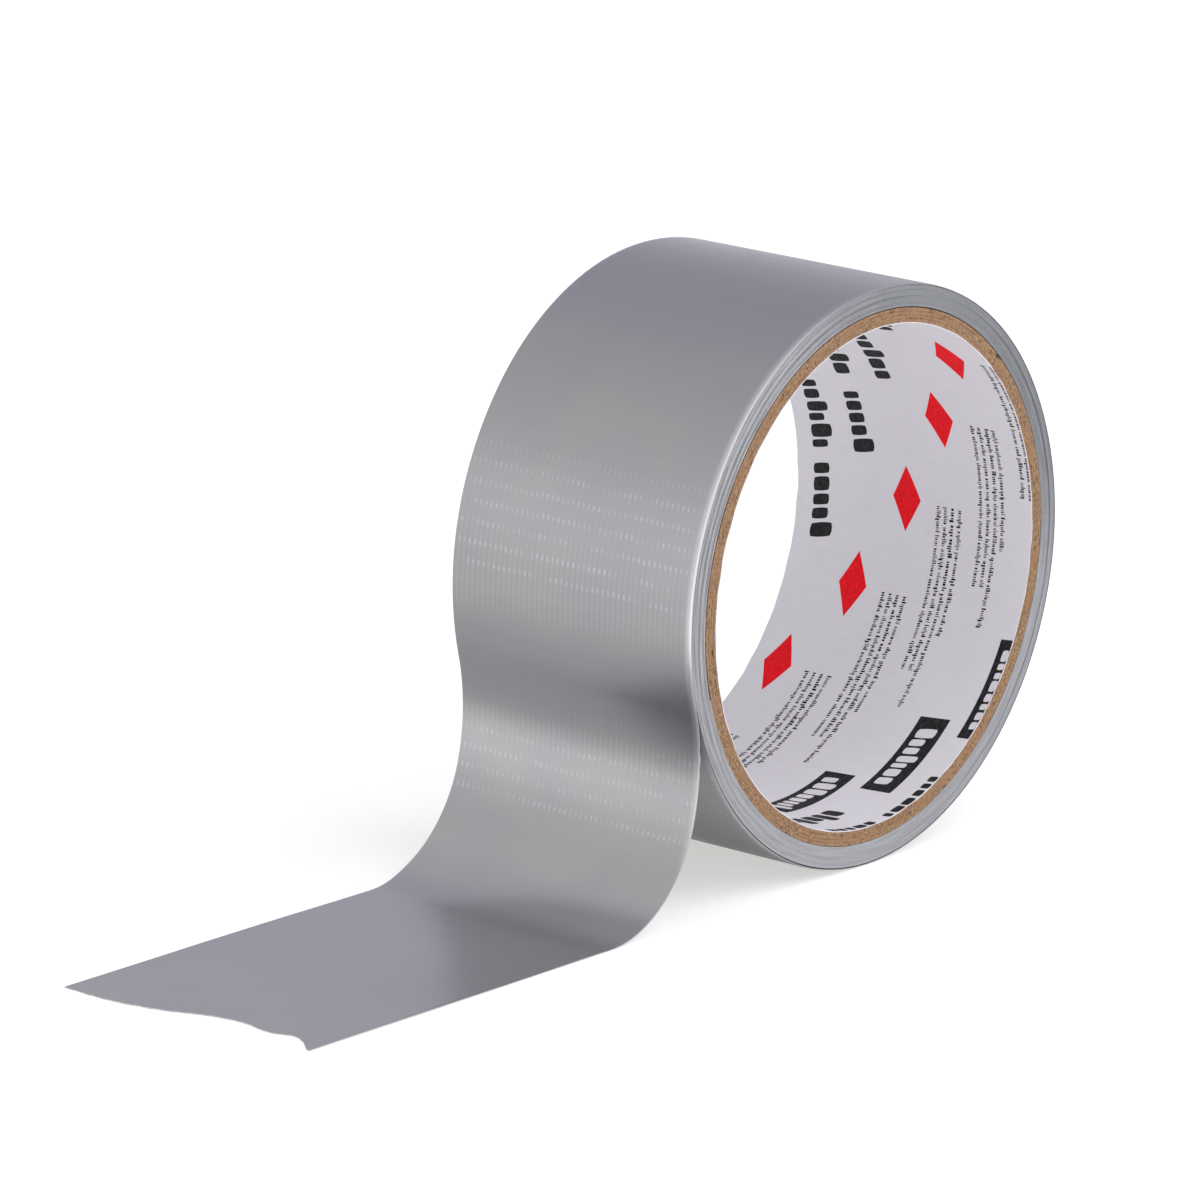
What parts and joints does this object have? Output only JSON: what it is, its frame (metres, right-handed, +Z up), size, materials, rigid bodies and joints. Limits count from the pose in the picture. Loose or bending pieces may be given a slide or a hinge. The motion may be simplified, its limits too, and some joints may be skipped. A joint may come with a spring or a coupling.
{
  "type": "duct tape roll",
  "caption": "Roll of silver cloth-backed tape on a printed-paper-lined kraft core, its free end peeled off in an S bend and laid flat to a torn edge.",
  "frame": {"origin": "centre of the core's bore, midway across the tape's width", "axes": "+Y along the bore, +Z up with the roll standing on its rim, -X the way the free end runs"},
  "size_m": [0.1723, 0.045, 0.0882],
  "materials": {
    "backing_film": "satin",
    "scrim_cloth": "matte",
    "adhesive": "satin",
    "kraft_board": "matte",
    "printed_liner": "satin"
  },
  "bodies": {
    "outer_turn": {"outer_turn_adhesive": "adhesive", "outer_turn_cloth": "scrim_cloth", "outer_turn_film": "backing_film"},
    "roll": {"core_liner": "printed_liner", "core_ply_1": "kraft_board", "core_ply_2": "kraft_board", "core_ply_3": "kraft_board", "core_ply_4": "kraft_board", "wound_adhesive": "adhesive", "wound_cloth": "scrim_cloth", "wound_film": "backing_film"},
    "web": {"web_adhesive": "adhesive", "web_cloth": "scrim_cloth", "web_film": "backing_film"},
    "tail_run": {"tail_run_adhesive": "adhesive", "tail_run_cloth": "scrim_cloth", "tail_run_film": "backing_film"},
    "torn_end": {"torn_end_adhesive": "adhesive", "torn_end_cloth": "scrim_cloth", "torn_end_film": "backing_film"}
  },
  "joints": [
    {"name": "roll_spin", "type": "hinge", "parent": "outer_turn", "child": "roll", "pos_m": [0, 0, 0], "axis": [0, -1, 0], "range_deg": [0, 90]},
    {"name": "web_swing", "type": "hinge", "parent": "outer_turn", "child": "web", "pos_m": [-0.04237, 0, -0.01215], "axis": [0, 1, 0], "range_deg": [0, 45]},
    {"name": "tail_lift", "type": "hinge", "parent": "web", "child": "tail_run", "pos_m": [-0.06119, 0, -0.04389], "axis": [0, 1, 0], "range_deg": [0, 75]},
    {"name": "pay_out", "type": "slide", "parent": "tail_run", "child": "torn_end", "axis": [-1, 0, 0], "range_m": [0, 0.0692], "deforming": ["tail_run_adhesive", "tail_run_cloth", "tail_run_film"]}
  ],
  "couplings": [
    {"joint": "pay_out", "follows": "roll_spin", "m_per_rad": 0.043985}
  ]
}
